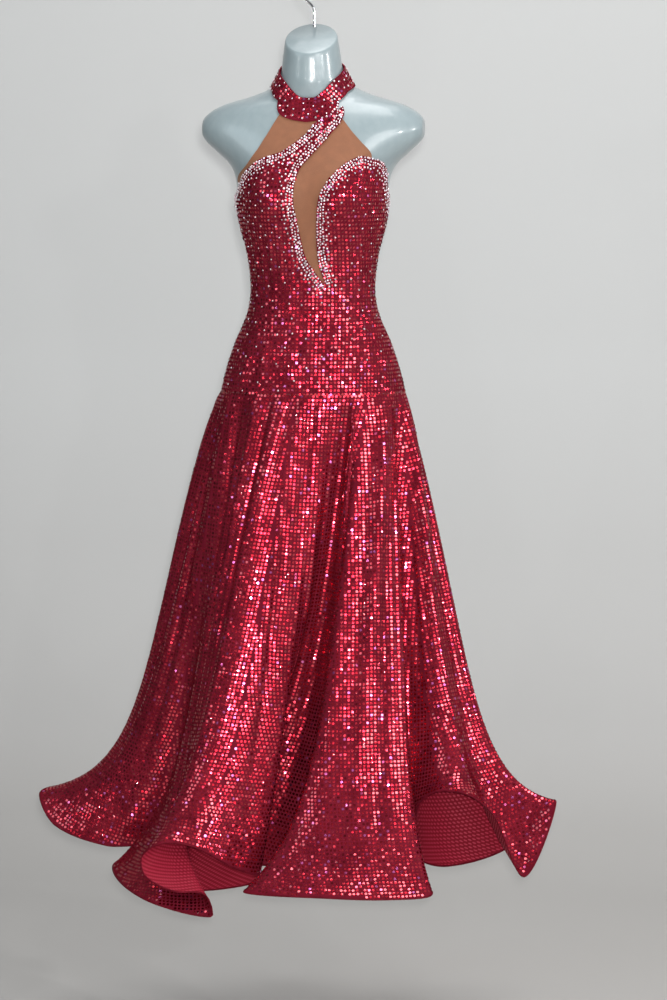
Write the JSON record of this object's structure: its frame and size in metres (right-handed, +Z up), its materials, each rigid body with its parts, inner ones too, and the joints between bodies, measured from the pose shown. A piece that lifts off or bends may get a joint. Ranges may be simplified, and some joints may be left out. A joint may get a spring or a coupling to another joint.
{
  "type": "showgirl costume on a hanging torso form",
  "caption": "Floor-length halter gown of sequinned cloth with a mesh inset and a fluted flared skirt, worn by a limbless torso form that hangs from its hook.",
  "frame": {"origin": "seat of the hook: the inner top of its loop, where it hangs on a rail", "axes": "+Z up, -Y the front of the gown, +X the viewer's right when facing the front"},
  "size_m": [0.9579, 0.7623, 1.6322],
  "materials": {
    "sequin_cloth": "stretch cloth covered with round foil sequins, mirror-bright wine red; plain dull red reverse",
    "nude_mesh": "fine matt stretch tulle in a tan skin tone",
    "form_plastic": "smooth blow-moulded white plastic with a soft gloss",
    "hook_chrome": "bright round wire"
  },
  "bodies": {
    "root": {"front_left": "sequin_cloth", "front_right": "sequin_cloth", "back_left": "sequin_cloth", "back_right": "sequin_cloth", "collar": "sequin_cloth", "gore_back_left": "sequin_cloth", "gore_side_back_left": "sequin_cloth", "gore_side_left": "sequin_cloth", "gore_front_left": "sequin_cloth", "gore_front_right": "sequin_cloth", "gore_side_right": "sequin_cloth", "gore_side_back_right": "sequin_cloth", "gore_back_right": "sequin_cloth", "mesh_inset": "nude_mesh", "form": "form_plastic", "hook": "hook_chrome"}
  },
  "joints": []
}
